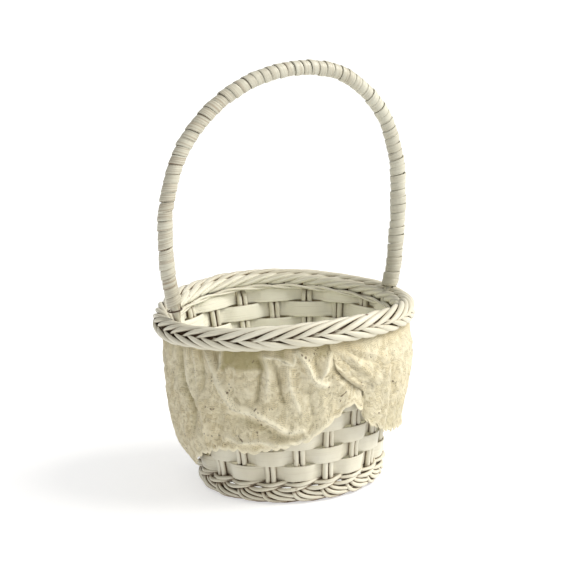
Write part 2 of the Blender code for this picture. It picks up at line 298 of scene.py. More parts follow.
def painted_wood(name, paint, shade, streak_scale, wash_and_shade_reach, wash_and_shade_ends, roughness, worn=0.0,
                 streaks=0.42, streak_ends=(0.56, 0.78), inside=0.0):
    """Cream paint over wood: fibre streaks, brown wash with painted shade in the crevices, painted
    shade towards the left, worn specks.

    streak_scale is the grain's scale along and across a rod; the next two give how far (in metres) a
    crevice is felt, and the openness at which the brown wash and painted shade are full and at which
    they are gone.
    inside is how much painted light brightens faces that look at the basket's middle, standing in for
    light falling into the basket.
    """
    n = Nodes(name)
    grain = n.add("ShaderNodeAttribute", attribute_name="grain").outputs["Vector"]
    place = n.add("ShaderNodeNewGeometry").outputs["Position"]
    fibres = n.noise(n.scaled(grain, (streak_scale[0], streak_scale[1], 1.0)), 1.0, 4.0, 0.6)
    coarse = n.noise(n.scaled(grain, (streak_scale[0] * 0.4, streak_scale[1] * 0.3, 1.0)), 1.0)
    blotch = n.noise(place, 28.0, 3.0)
    cavity = n.add("ShaderNodeAmbientOcclusion", {"Distance": wash_and_shade_reach}, samples=8).outputs["AO"]
    tone = n.mix(n.spread(blotch, 0.32, 0.68), shade, paint)
    tone = n.mix(n.spread(coarse, 0.50, 0.72, 0.0, 0.45), tone, shade)
    # faces that look inwards are painted lighter: painted light inside the basket
    if inside:
        outward = n.add("ShaderNodeVectorMath", {0: place}, operation="NORMALIZE").outputs[0]
        normal = n.add("ShaderNodeNewGeometry").outputs["Normal"]
        facing = n.add("ShaderNodeVectorMath", {0: normal, 1: outward}, operation="DOT_PRODUCT")
        tone = n.mix(n.spread(facing.outputs["Value"], 0.0, -0.3, 0.0, inside), tone, INSIDE_PAINTED_LIGHT)
    # the streaks grow towards the left (-X): painted shade on the side away from the window light
    sideways = n.add("ShaderNodeSeparateXYZ", {0: place}).outputs[0]
    streaked = n.math("MULTIPLY", n.spread(fibres, *streak_ends, 0.0, streaks),
                      n.spread(sideways, -0.09, 0.09, 1.35, 0.45))
    tone = n.mix(streaked, tone, BROWN_WASH_AND_SHADE)
    # crevices found by ambient occlusion get a brown wash together with painted shade
    wash_and_shade = n.math("ADD", cavity, n.spread(n.noise(place, 240.0, 2.0), 0.3, 0.7, -0.09, 0.09))
    # the wash and shade reach further on the left and less on the right: painted shade from the side
    # light
    wash_and_shade = n.math("ADD", wash_and_shade, n.spread(sideways, -0.09, 0.09, -0.05, 0.10))
    tone = n.mix(n.spread(wash_and_shade, wash_and_shade_ends[1], wash_and_shade_ends[0], 0.0, 0.85), tone, BROWN_WASH_AND_SHADE)
    # the deepest crevices go nearly black: painted shade
    tone = n.mix(n.spread(wash_and_shade, wash_and_shade_ends[0], 0.02, 0.0, 1.0), tone, DARK_WASH_AND_SHADE)
    if worn:
        specks = n.add("ShaderNodeTexVoronoi", {"Vector": place, "Scale": 85.0}).outputs["Distance"]
        patchy = n.noise(place, 30.0, 2.0)
        chance = n.math("MULTIPLY", n.spread(specks, 0.17, 0.07), n.spread(patchy, 0.55, 0.62))
        tone = n.mix(n.math("MULTIPLY", chance, worn, True), tone, BARE_SPECK)
    n.set(Base_Color=tone, Roughness=n.spread(fibres, 0.3, 0.7, roughness - 0.06, roughness + 0.12))
    ridges = n.bump(fibres, 0.35, 0.0005)
    n.set(Normal=n.bump(n.noise(place, 420.0, 2.0), 0.18, 0.0004, ridges))
    n.set(Coat_Weight=0.12, Coat_Roughness=0.32)
    return n.material


def make_materials():
    return {
        "splint": painted_wood("painted_splint", CREAM, CREAM_SHADE, (14, 1500), 0.0040,
                               (0.32, 0.62), 0.34, streaks=0.50, inside=1.0),
        "rod": painted_wood("painted_rod", CREAM, CREAM_SHADE, (30, 1300), 0.0042,
                            (0.38, 0.76), 0.42, worn=0.8, streaks=0.66, inside=0.5),
        "foot": painted_wood("painted_foot", CREAM, CREAM_SHADE, (30, 1300), 0.0046,
                             (0.46, 0.82), 0.42, worn=0.9, streaks=0.66),
        "rim": painted_wood("painted_rim", CREAM, CREAM_SHADE, (26, 900), 0.0038,
                            (0.34, 0.66), 0.40, worn=1.0, streaks=0.5),
        "rim_top": painted_wood("painted_rim_top", CREAM, CREAM_SHADE, (26, 900), 0.0026,
                                (0.14, 0.36), 0.40, worn=0.8, inside=0.9),
        "wrap": painted_wood("painted_wrap", WRAP_CREAM, WRAP_SHADE, (16, 900), 0.0018,
                             (0.16, 0.42), 0.42, streaks=0.60, streak_ends=(0.47, 0.68)),
        "stain_and_shade": painted_wood("stain_and_shade_rod", STAIN_AND_SHADE, STAIN_AND_SHADE_DEEP, (30, 900), 0.0040, (0.2, 0.5), 0.6),
        "board": painted_wood("painted_board", CREAM, CREAM_SHADE, (6, 160), 0.0060,
                              (0.15, 0.45), 0.55),
        "lace": lace_fabric(),
    }


def lace_fabric():
    """Ivory lace: dense cords and petals over a fine net that is see-through in its gaps."""
    n = Nodes("ivory_lace")
    cloth = n.add("ShaderNodeAttribute", attribute_name="cloth").outputs["Vector"]
    dense, hole, hollow, glued, crest = (
        n.add("ShaderNodeAttribute", attribute_name=name).outputs["Fac"]
        for name in ("dense", "eyelet", "hollow", "glued", "crest")
    )
    place = n.add("ShaderNodeNewGeometry").outputs["Position"]
    cavity = n.add("ShaderNodeAmbientOcclusion", {"Distance": 0.010}, samples=8).outputs["AO"]
    warp = n.add("ShaderNodeTexWave", {"Vector": cloth, "Scale": 230.0, "Distortion": 1.2},
                 bands_direction="X").outputs["Fac"]
    weft = n.add("ShaderNodeTexWave", {"Vector": cloth, "Scale": 210.0, "Distortion": 1.2},
                 bands_direction="Y").outputs["Fac"]
    net = n.math("MAXIMUM", warp, weft)
    stitches = n.noise(cloth, 1100.0, 2.0)
    cloudy = n.noise(place, 34.0, 4.0)
    tone = n.mix(n.spread(cloudy, 0.35, 0.65), (0.755, 0.657, 0.420), (0.835, 0.762, 0.535))
    # between the net's threads the lace is darker: painted shade of the basket seen through it
    tone = n.mix(n.spread(net, 0.25, 0.85, 0.50, 0.0), tone, (0.50, 0.415, 0.24))
    tone = n.mix(n.spread(dense, 0.15, 0.95, 0.0, 0.85), tone, (0.965, 0.895, 0.670))
    tone = n.mix(n.spread(stitches, 0.52, 0.74, 0.0, 0.42), tone, (0.44, 0.37, 0.22))
    # folds and tucks found by ambient occlusion darken: painted shade
    tone = n.mix(n.spread(cavity, 0.80, 0.20, 0.0, 0.70), tone, (0.37, 0.30, 0.15))
    # sunken folds are tinted olive: painted shade in the valleys
    tone = n.mix(n.math("MULTIPLY", hollow, 0.36), tone, (0.47, 0.43, 0.25))
    # the olive patches are soaked glue together with painted shade under the rim
    tone = n.mix(n.math("MULTIPLY", glued, 0.75), tone, (0.37, 0.31, 0.11))
    # narrow fold crests are painted pale: painted highlight
    tone = n.mix(n.math("MULTIPLY", crest, 0.62), tone, (0.99, 0.945, 0.755))
    # the holes are painted dark brown: painted shade of the basket seen through them
    tone = n.mix(n.spread(hole, 0.25, 0.80, 0.0, 0.78), tone, (0.15, 0.090, 0.038))
    rough = n.spread(glued, 0.2, 0.9, 0.85, 0.28)
    n.set(Base_Color=tone, Roughness=rough, Sheen_Weight=0.2, Sheen_Roughness=0.5)
    raised = n.bump(net, 0.25, 0.0005, n.bump(dense, 0.7, 0.0008))
    n.set(Normal=n.bump(stitches, 0.45, 0.0006, raised))
    glow = n.add("ShaderNodeBsdfTranslucent", {"Color": tone}).outputs[0]
    body = n.add("ShaderNodeMixShader", {0: 0.20, 1: n.shader.outputs[0], 2: glow}).outputs[0]
    clear = n.add("ShaderNodeBsdfTransparent").outputs[0]
    gaps = n.math("MULTIPLY", n.spread(net, 0.60, 0.30, 0.0, 0.40), n.spread(dense, 0.45, 0.10))
    gaps = n.math("MAXIMUM", gaps, n.spread(hole, 0.5, 0.85, 0.0, 0.35))
    body = n.add("ShaderNodeMixShader", {0: gaps, 1: body, 2: clear}).outputs[0]
    n.tree.links.new(body, n.output.inputs["Surface"])
    return n.material


# ---- stakes, splints and base --------------------------------------------------------------


def make_stakes(materials):
    """Each pair is two round rods side by side, a little uneven, leaning outwards.

    Two pairs end low in the CAD, where the handle's legs take over, and so do their rods.
    """
    for index in range(STAKES):
        pair = Builder()
        name = f"stake_pair_{index + 1:02d}"
        cad_top = heights(name)[1]
        top = STAKE_TOP_Z if cad_top > SHORT_STAKE_Z else cad_top - 0.5
        for side in (-1, 1):
            z = np.linspace(STAKE_FOOT_Z, top, 54)
            splay = rng.uniform(0.0, 0.9) * smoothstep(95, STAKE_TOP_Z, z)
            lateral = side * (ROD + 0.08 + splay) + 0.25 * np.sin(z / 17 + rng.uniform(0, 6))
            weave = -0.35 * np.sin(np.pi * (z - ROWS[0][0]) / 13.3 + np.pi * index)
            radius = stake_radius(z) + weave + rng.uniform(-0.15, 0.15)
            radius = radius + 5.0 * smoothstep(128, 140, z)
            angle = stake_angle(index) + lateral / radius
            thick = ROD * rng.uniform(0.95, 1.04) * (1 + 0.02 * np.sin(z / 9 + rng.uniform(0, 6)))
            outward = around(1.0, angle, 0.0)
            pair.sweep(around(radius, angle, z), outward, thick, thick, sides=12)
        pair.make(f"stake_rods_{index + 1:02d}", materials["rod"], [name], "painted_rod")


def splint_wave(angle, row):
    """+1 where a row passes outside a stake, -1 where it passes inside, eased between."""
    swing = -math.cos(math.pi * row) * np.cos((angle - FIRST_STAKE) / PITCH * math.pi)
    return np.tanh(SPLINT_SNAP * swing) / math.tanh(SPLINT_SNAP)


def make_splints(materials):
    """Flat splints woven over and under the stake pairs; the last row follows the wavy rim."""
    angle = FIRST_STAKE + PITCH / 2 + np.linspace(0, 2 * np.pi, STAKES * 16, endpoint=False)
    for row, (low, high) in enumerate(ROWS):
        if row == len(ROWS) - 1:
            high = np.minimum(high + 1.8, rim_z(angle) - INNER_RING_DROP)
        middle, half = (low + high) / 2, (high - low) / 2 + 0.05
        wobble = 0.18 * np.sin(3 * angle + row) + 0.12 * np.sin(7 * angle + 2 * row)
        radius = stake_radius(middle) + SPLINT_OFFSET * splint_wave(angle, row)
        out = around(math.cos(STAKE_LEAN), angle, -math.sin(STAKE_LEAN))
        hoop = Builder()
        hoop.sweep(around(radius, angle, middle + wobble), out, half, SPLINT_HALF_THICKNESS,
                   sides=16, power=5.0, closed=True)
        name = f"{row + 1:02d}"
        hoop.make(f"splint_row_{name}", materials["splint"], [f"weaver_row_{name}"], "painted_splint")


def paint_cad_node(name, material):
    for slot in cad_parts[name].material_slots:
        slot.material = material


# ---- foot ----------------------------------------------------------------------------------


def make_twining(materials):
    """Two strands of doubled rods that cross between the stakes."""
    middle = sum(heights("twining_rod_1")) / 2
    angle = FIRST_STAKE + np.linspace(0, 2 * np.pi, 400, endpoint=False)
    for number, side in enumerate((1, -1), start=1):
        strand = Builder()
        phase = (angle - FIRST_STAKE) * STAKES / 2
        for level in (-1, 1):
            thick = 1.58 * (1 + 0.05 * np.sin(9 * angle + level))
            shifted = phase + (0.9 if level < 0 else 0.0)
            front = side * np.cos(shifted)
            radius = stake_radius(middle) + 4.0 * front - 0.3 * level
            z = middle + 1.70 * level + side * 0.95 * np.sin(shifted) - 0.5 * front
            z = z + 0.15 * np.sin(5 * angle + level)
            strand.sweep(around(radius, angle, z), around(1.0, angle, 0.0), thick, thick, 10,
                         closed=True)
        replaced = [f"twining_rod_{number}"]
        strand.make(f"twined_rods_{number}", materials["foot"], replaced, "painted_rod")


# one list for each rod of a roll: degrees along the foot, height, how far it stands proud
FOOT_RODS = [
    [(4.6, 12.8, -2.2), (5.4, 11.4, 0.4), (8.2, 9.2, 1.6), (13.6, 7.2, 1.4), (19.5, 5.8, 0.4),
     (24.5, 4.9, -1.6)],
    [(2.0, 12.6, -2.2), (2.4, 10.6, 0.6), (4.4, 7.6, 2.0), (9.6, 4.9, 1.8), (17.0, 3.4, 0.4),
     (22.0, 2.8, -1.8)],
    [(-0.6, 12.4, -2.2), (-0.6, 9.8, 0.4), (0.6, 5.8, 1.6), (4.4, 2.7, 1.1), (11.0, 1.9, -0.6),
     (16.0, 1.8, -2.4)],
]
FOOT_ROD = 1.62


def make_foot_rolls(materials):
    """Each roll is three rods that come out under the twining, turn down and run to the right."""
    rolls = Builder()
    for roll in range(STAKES):
        start = stake_angle(roll) - math.radians(4.5) + rng.normal(0, 0.008)
        for knots in FOOT_RODS:
            path = smooth_knots(knots, 6)
            angle = start + np.radians(path[:, 0]) + rng.normal(0, 0.006)
            z = np.maximum(path[:, 1] + rng.normal(0, 0.22), FOOT_ROD + 0.13)
            swell = 3.6 * np.sqrt(np.maximum(0.0, 1 - ((z - FOOT_Z - 0.6) / 8.5) ** 2))
            radius = FOOT_RADIUS + swell + path[:, 2]
            thick = FOOT_ROD * rng.uniform(0.92, 1.06)
            outward = around(1.0, angle, (z - FOOT_Z) / 9.0)
            rolls.sweep(around(radius, angle, z), outward, thick, thick, 9)
    rolls.make("foot_rolls", materials["foot"], [], "painted_rod")
    # the CAD's foot strands under the rolls get the same dark rod colour
    for number in range(1, 5):
        paint_cad_node(f"foot_strand_{number}", materials["stain_and_shade"])


# ---- rim -----------------------------------------------------------------------------------

# degrees along the rim, degrees around its section, distance from the section's centre
LOWER_STROKE = [
    (-4, 30, 1.6), (-0.8, 15, 3.9), (2.2, 2, 6.1), (5.5, -12, 7.0), (9.5, -27, 7.2),
    (14, -44, 7.1), (19, -62, 6.6), (24, -82, 5.2),
]
UPPER_STROKE = [
    (-6.5, -28, 2.2), (-2.8, -12, 4.1), (1.0, 5, 6.1), (5.0, 23, 7.0), (10.5, 47, 7.2), (16.5, 71, 7.1),
    (22, 92, 6.9), (27, 110, 6.2), (31, 123, 4.8), (34, 132, 3.4),
]
INNER_STROKE = [
    (19, 102, 2.8), (22.5, 113, 4.6), (26.5, 126, 6.4), (31, 140, 7.1), (36, 157, 7.1),
    (41, 174, 6.5), (45, 188, 5.4), (47.5, 197, 4.2),
]
STROKE_WIDTHS = {"lower": 2.60, "upper": 2.35, "inner": 2.55}
STROKE_THICKNESS = 2.2
# near the front's left end the border is rolled upwards by so many degrees, and its rods are
# thinner by this share
RIM_TWIST, RIM_TWIST_AT, RIM_TWIST_WIDTH = 26.0, -46.0, 21.0
RIM_SLACK, RIM_SLACK_AT, RIM_SLACK_WIDTH = 0.17, -66.0, 32.0
# two thin rods that run around under the border's inner edge
INNER_RING_RADIUS, INNER_RING_DROP, INNER_RING_ROD = 86.6, 3.4, 1.2


def rim_z(angle):
    """The rim is not level: the handle's legs pull it down and the back stands a little higher."""
    leg = HANDLE_AZIMUTH + math.pi / 2
    return RIM_Z - RIM_LEG_DIP * np.cos(2 * (angle - leg)) - RIM_BACK_RISE * np.cos(angle)


def nearness(angle, centre, width):
    """1 where the angle is at centre, fading to 0; centre and width are degrees."""
    away = (np.degrees(angle) - centre + 180) % 360 - 180
    return np.exp(-(away / width) ** 2)


def rim_rod(builder, knots, start, width):
    """One rod of the border: it comes up at the spine, crosses over and dives under the next."""
    path = smooth_knots(knots, 5)
    along, around_section, depth = path.T
    angle = start + np.radians(along) + rng.normal(0, 0.008)
    leaning = RIM_TWIST * nearness(angle, RIM_TWIST_AT, RIM_TWIST_WIDTH)
    slack = 1 - RIM_SLACK * nearness(angle, RIM_SLACK_AT, RIM_SLACK_WIDTH)
    section = np.radians(around_section + leaning + rng.normal(0, 2.5))
    depth = depth * (1 + 0.03 * np.sin(along / 6 + rng.uniform(0, 6))) + rng.normal(0, 0.15)
    height = rim_z(angle) + RIM_TALL * depth * np.sin(section)
    centre = around(RIM_RADIUS + depth * np.cos(section), angle, height)
    outward = around(np.cos(section), angle, np.sin(section))
    first, last = knots[0][0], knots[-1][0]
    tip = 0.45 + 0.55 * smoothstep(first + 4, first + 14, along)
    tip = tip * (0.75 + 0.25 * smoothstep(last, last - 6, along))
    size = tip * slack * rng.uniform(0.90, 1.04)
    builder.sweep(centre, outward, width * size, STROKE_THICKNESS * size, sides=12)


def make_rim(materials):
    """Forty chevrons of rods around a dark core, whose colour is painted shade in the holes between
    them.
    """
    outer, upper, inner = Builder(), Builder(), Builder()
    for rod in range(RIM_RODS):
        start = FIRST_STAKE + rod * 2 * math.pi / RIM_RODS
        rim_rod(outer, LOWER_STROKE, start, STROKE_WIDTHS["lower"])
        rim_rod(upper, UPPER_STROKE, start, STROKE_WIDTHS["upper"])
        rim_rod(inner, INNER_STROKE, start, STROKE_WIDTHS["inner"])
    outer.make("rim_outer_rods", materials["rim"], ["rim_strand_1"], "painted_rod")
    upper.make("rim_upper_rods", materials["rim"], ["rim_strand_2"], "painted_rod")
    angle = np.linspace(0, 2 * np.pi, 480, endpoint=False)
    for side in (-1, 1):
        phase = (angle - FIRST_STAKE) * STAKES / 2
        height = rim_z(angle) - INNER_RING_DROP + 1.15 * side * np.sin(phase)
        path = around(INNER_RING_RADIUS - 0.7 * side * np.cos(phase), angle, height)
        inner.sweep(path, around(1.0, angle, 0.0), INNER_RING_ROD, INNER_RING_ROD, 10, closed=True)
    inner.make("rim_inner_rods", materials["rim_top"], ["rim_strand_3"], "painted_rod")
    # the core is dark so that the holes between the rods look deep: painted shade
    core, angle = Builder(), np.linspace(0, 2 * np.pi, 120, endpoint=False)
    core.sweep(around(RIM_RADIUS, angle, rim_z(angle)), around(1.0, angle, 0.0), 4.2, 4.4, 14,
               closed=True)
    core.make("rim_core_rod", materials["stain_and_shade"], [], "painted_rod")


# ---- handle --------------------------------------------------------------------------------


def handle_path():
    """The hoop's centreline in its own plane (distance from the axis, height), evenly stepped."""
    tip, weave = (stake_radius(75), 75), (stake_radius(124), 124)
    low_rim = (90.0, 136)
    left = [(-x, z) for x, z in (tip, weave, low_rim)]
    left += [(-90.8, 144), (-92.3, 154), (-94.8, 170), (-96.4, 192), (-94.2, 230), (-80.7, 270)]
    left += [(-54.5, 301)]
    crown = [(-20, 321), (18, 328.3), (52.5, 323.8)]
    right = [(77.6, 307.4), (95.3, 283.6), (104.8, 250), (105.4, 212), (101.2, 172), (97.8, 154)]
    path = smooth_knots(left + crown + right + [(94.8, 145), low_rim, weave, tip], 24)
    length = np.concatenate([[0.0], np.cumsum(np.linalg.norm(np.diff(path, axis=0), axis=1))])
    even = np.arange(0, length[-1], 0.5)
    return sampled(path, length, even), even


def sampled(rows, length, where):
    """Rows of two numbers, known at the given lengths, looked up at other lengths."""
    return np.stack([np.interp(where, length, rows[:, i]) for i in (0, 1)], 1)


def in_plane(points, across=0.0):
    """World points from points in the hoop's own plane, moved across it."""
    c, s = math.cos(HANDLE_AZIMUTH), math.sin(HANDLE_AZIMUTH)
    x, z = points[..., 0], points[..., 1]
    return np.stack(np.broadcast_arrays(x * c - across * s, x * s + across * c, z), -1)


def wrap_turns(start, end):
    """Places along the hoop, pitches and turning angles of the reed that winds around it."""
    places, pitches, turns = [], [], []
    at, turn, step = start, 0.0, 2 * math.pi / WRAP_STEPS
    while at < end:
        pitch = WRAP_PITCH - WRAP_PITCH_LOSS * (at - start) / (end - start)
        places.append(at)
        pitches.append(pitch)
        turns.append(turn)
        turn += step
        at += pitch * step / (2 * math.pi)
    return np.array(places), np.array(pitches), np.array(turns)


def uneven(turns, spacing, size):
    """A seeded wandering value along the winding, with a new target every few radians."""
    marks = np.arange(0, turns[-1] + 9, spacing)
    return np.interp(turns, marks, rng.normal(0, size, len(marks)))


def make_handle(materials):
    """The hoop, the reed wound around it and the cord that ties the reed at the left, dark as a stain
    and as painted shade where the wrap ends.
    """
    path, length = handle_path()
    tangent = directions(path, False)
    normal = np.stack([tangent[:, 1], -tangent[:, 0]], 1)
    hoop, body = Builder(), slice(None, None, 8)
    thick = 2.2 + 2.0 * smoothstep(140, 152, path[body, 1])
    hoop.sweep(in_plane(path[body]), in_plane(normal[body]), 4.3, thick, 14)
    hoop.make("handle_hoop", materials["wrap"], ["handle_core"], "bare_cane")

    start = length[np.flatnonzero(path[:, 1] >= WRAP_START_Z)[0]] + 3.2
    end = length[np.flatnonzero(path[:, 1] >= WRAP_END_Z)[-1]]
    places, pitches, turns = wrap_turns(start, end)
    lumps = uneven(turns, 2.1, 0.24)
    at = places + uneven(turns, 3.3, 0.35)
    radius = WRAP_RADIUS + 0.55 * smoothstep(0.62, 0.9, (at - start) / (end - start)) + lumps
    outward = in_plane(sampled(normal, length, at) * np.cos(turns)[:, None], np.sin(turns))
    along = in_plane(sampled(tangent, length, at))
    spot = in_plane(sampled(path, length, at)) + outward * radius[:, None]
    reed = Builder()
    reed.sweep(spot, outward * math.cos(WRAP_TILT) + along * math.sin(WRAP_TILT),
               pitches * WRAP_HALF_WIDTH, WRAP_HALF_THICKNESS, sides=12, power=3.0)
    reed.make("handle_reed", materials["wrap"], ["handle_wrap"], "painted_splint")

    # the cord's dark colour stands partly for a stain and partly for painted shade at the wrap's end
    cord, turn = Builder(), np.linspace(0, 2 * np.pi, 40, endpoint=False)
    tie = np.argmin(np.abs(length - (start - 3.4)))
    ring = in_plane(path[tie] + np.outer(np.cos(turn), normal[tie]) * 5.3, 4.9 * np.sin(turn))
    cord.sweep(ring, unit(ring - in_plane(path[tie])), 0.55, 0.5, 8, closed=True)
    cord.make("handle_binding", materials["stain_and_shade"], [], "painted_rod")


# ---- lace ----------------------------------------------------------------------------------

LACE_COLUMNS, LACE_ROWS, LACE_HALF_THICKNESS = 660, 110, 0.25
MM_PER_DEGREE = 1.7
GATHER = 1.25  # millimetres of cloth for each millimetre of side
SCALLOP, SCALLOP_DEPTH = 10.5, 2.6
ROSETTE_ROWS, ROSETTE_SPACING = (12.0, 30.0, 48.0, 66.0, 84.0), 19.0
EYELET_STRINGS = 120

# The strip runs once around, in degrees, and laps over its own end (360 degrees further on).
LAP_START, LAP_END = 20.0, 410.0
# height, then the degrees at which the strip's free front edge hangs
LAP_EDGE = [
    (52, 42), (62, 40), (68, 38.4), (74, 37.4), (82, 37), (87, 37.2), (90.5, 36.2), (93, 34.2),
    (95.5, 32), (98, 30), (102.6, 27), (107, 24), (112, 21.5), (120, 20.5), (128, 20),
]
# degrees, then the hem's height
HEM = [
    (20, 66), (22, 62), (31, 51.5), (41.5, 48.5), (66, 45), (83, 42), (100, 37), (118, 45), (140, 39),
    (160, 34), (182, 43), (200, 48), (220, 38), (240, 33), (258, 32), (274, 26), (285, 21), (294, 23),
    (302, 33), (312, 41), (322, 47), (328, 50), (335, 50), (341, 48), (352.7, 52), (357, 53.5),
    (369, 58), (378, 70), (385, 76), (387, 81.5), (391, 82), (394.5, 76), (398, 69), (401, 63),
    (405, 58), (410, 55),
]
# height, then the lace's distance from the axis at the left and at the right
DRAPE_LEFT = [(18, 77), (25, 81), (30, 85), (43, 91.5), (55, 95.0), (68, 96.6), (84, 97.6), (100, 97.8),
              (120, 97.0), (134, 95.5)]
DRAPE_RIGHT = [(30, 85.0), (42, 88.0), (54, 91.5), (66, 94.5), (79, 97.0), (91, 99.6), (110, 100.6),
               (122, 99.0), (134, 96.0)]

# Folds of the cloth, in front and left and then on the lapping end at the right: how far the
# fold stands out, its width, then its run as (degrees, height above the floor).
SWAG_FOLDS = [
    (3.0, 8.0, [(-73, 122), (-71, 90), (-70, 60), (-70, 35)]),
    (-5.4, 3.4, [(-58, 122), (-56, 97), (-52.6, 88), (-49.5, 75), (-52, 62)]),
    (2.4, 2.4, [(-51.7, 126), (-52.5, 106), (-49.5, 92)]),
    (-2.6, 7.0, [(-48.5, 122), (-48, 110), (-47, 100)]),
    (-3.4, 2.2, [(-43.2, 125), (-42, 108), (-40, 97)]),
    (2.4, 1.5, [(-47.4, 125), (-46.5, 110), (-44.6, 99)]),
    (2.6, 2.2, [(-39.5, 127), (-36, 118), (-33, 108), (-30, 97)]),
    (-3.0, 1.9, [(-34.5, 128), (-32.6, 118)]),
    (3.0, 1.1, [(-29.4, 130), (-30.2, 123), (-30.0, 118), (-30.8, 113)]),
    (1.8, 4.0, [(-45, 88), (-41, 70), (-42, 52)]),
    (-2.2, 3.0, [(-33, 84), (-32, 70), (-35, 58)]),
    (2.8, 1.8, [(-28.5, 94), (-25.5, 86), (-20, 82.5)]),
    (4.8, 2.1, [(-32, 103), (-27.4, 93), (-24.4, 85), (-13.5, 80), (-5.8, 71), (0.2, 65), (6, 66)]),
    (-3.0, 3.4, [(-25, 77), (-15.3, 72.6), (-5.3, 62), (3, 58)]),
    (2.6, 2.2, [(-30, 60), (-22, 56), (-14, 58), (-5, 55), (3, 56), (10, 62), (18, 73)]),
    (-4.2, 1.9, [(-12.3, 122), (-12.9, 107), (-14.4, 90)]),
    (2.2, 2.4, [(-9, 126), (-9.2, 108), (-9.6, 92)]),
    (-4.4, 1.9, [(-6.4, 122), (-5, 110), (-3.3, 101), (-2.2, 90)]),
    (2.2, 2.4, [(-0.8, 122), (0.4, 105), (2.4, 92), (5, 78)]),
    (3.0, 1.0, [(-8.5, 125), (-4, 123.6), (-1.2, 121.2), (2.4, 118.6), (3.1, 121.5), (3.0, 127)]),
    (4.8, 2.2, [(4.6, 128), (6.2, 124), (8.2, 117), (9.9, 107.4), (13, 102.5), (17, 101)]),
    (-2.8, 3.2, [(12.3, 125), (12.6, 116), (12.9, 110)]),
    (2.8, 2.2, [(19.2, 125), (16.6, 113.4), (14, 105)]),
    (-2.0, 2.6, [(8.5, 100), (9.0, 88), (11, 76)]),
    (3.0, 6.0, [(21, 106), (25, 96), (27, 88)]),
    (-3.2, 5.6, [(39, 99), (37.6, 84), (37.4, 60)]),
]
LAP_FOLDS = [
    (-3.2, 5.6, [(39, 99), (37.6, 84), (37.4, 60)]),
    (2.2, 6.0, [(30, 117), (35, 108), (40, 101), (45, 97)]),
    (1.2, 1.2, [(22, 113), (27, 104.6), (32, 98), (38.5, 94)]),
    (-1.6, 1.8, [(24, 121), (31, 110), (36, 101)]),
    (1.4, 1.8, [(27, 124), (34, 113), (39, 104)]),
    (-1.8, 2.2, [(28, 124), (36, 116), (44, 110)]),
    (1.9, 2.4, [(30, 126), (40, 120), (50, 112), (53, 100)]),
    (2.2, 4.0, [(49, 104), (49.5, 80), (50, 56)]),
    (-1.8, 2.6, [(55.5, 112), (55, 84), (55, 58)]),
    (2.2, 3.4, [(61, 118), (60, 86), (60, 52)]),
    (-1.8, 2.8, [(67, 112), (67, 84), (66, 56)]),
    (1.6, 4.0, [(76, 118), (74, 84), (72, 50)]),
]
# folds narrower than this get a painted highlight on their crests
CREST_WIDTH = 2.5
# olive patches under the rim, glue soaked into the cloth and painted shade of the rim: degrees from and
# to, lowest height, strength
GLUE_AND_SHADE_PATCHES = [
    (327, 353, 112.5, 1.0), (354.5, 361.5, 119.5, 0.7), (363.5, 368, 115, 0.6),
    (369.5, 382, 119.5, 0.7),
]


def along_knots(knots, x):
    x_knots, values = np.array(knots, float).T
    return np.interp(x, x_knots, values)


def fold(degrees, z, knots):
    """How far a fold lifts each point of the sheet: its height on its line, fading sideways."""
    height, width, line = knots
    x, nearest, run = degrees * MM_PER_DEGREE, np.full(z.shape, 1e9), np.zeros(z.shape)
    for span, ((x0, y0), (x1, y1)) in enumerate(zip(line, line[1:])):
        dx, dy = (x1 - x0) * MM_PER_DEGREE, y1 - y0
        across, up = x - x0 * MM_PER_DEGREE, z - y0
        t = np.clip((across * dx + up * dy) / (dx * dx + dy * dy), 0, 1)
        away = (across - t * dx) ** 2 + (up - t * dy) ** 2
        run = np.where(away < nearest, (span + t) / (len(line) - 1), run)
        nearest = np.minimum(nearest, away)
    fade = 0.25 + 0.75 * np.sin(np.pi * (0.12 + 0.76 * run)) ** 0.7
    return height * fade * np.exp(-(nearest / width**2) ** 0.66)


def soft_noise(x, y, cell, seed):
    """Smooth noise between -1 and 1, on a lattice of seeded values."""
    table = np.random.default_rng(seed).uniform(-1, 1, (257, 257))
    x, y = x / cell + 500.0, y / cell + 500.0
    i, j = np.floor(x).astype(int), np.floor(y).astype(int)
    u, v = x - i, y - j
    u, v = u * u * (3 - 2 * u), v * v * (3 - 2 * v)
    i, j = i % 256, j % 256
    low = table[i, j] * (1 - u) + table[i + 1, j] * u
    high = table[i, j + 1] * (1 - u) + table[i + 1, j + 1] * u
    return low * (1 - v) + high * v


def lace_pattern(x, y):
    """Thread density of the lace, 0 to 1: rosettes, leaves and wandering cords over open net."""
    x = x + 1.2 * soft_noise(x, y, 7, 31)
    y = y + 1.2 * soft_noise(x, y, 7, 32)
    density = 0.40 * smoothstep(0.0, 0.45, soft_noise(x, y, 3.6, 33))
    cords = np.abs(soft_noise(x, y, 4.6, 34))
    density = np.maximum(density, 0.9 * smoothstep(0.20, 0.06, cords))
    veins = np.abs(soft_noise(x, y, 2.6, 35))
    density = np.maximum(density, 0.6 * smoothstep(0.22, 0.06, veins))
    for row, height in enumerate(ROSETTE_ROWS):
        shift = ROSETTE_SPACING * (0.5 if row % 2 else 0.0)
        dx = (x + shift + ROSETTE_SPACING / 2) % ROSETTE_SPACING - ROSETTE_SPACING / 2
        dy = y - height
        spread, turn = np.hypot(dx, dy), np.arctan2(dy, dx)
        petal = 4.0 + 1.4 * np.cos(5 * turn + row)
        density = density * smoothstep(petal - 2.4, petal, spread)
        density = np.maximum(density, 0.5 * smoothstep(petal, petal - 1.4, spread))
        density = np.maximum(density, 0.95 * smoothstep(0.95, 0.35, np.abs(spread - petal)))
        density = np.maximum(density, smoothstep(1.5, 0.7, spread))
    return density


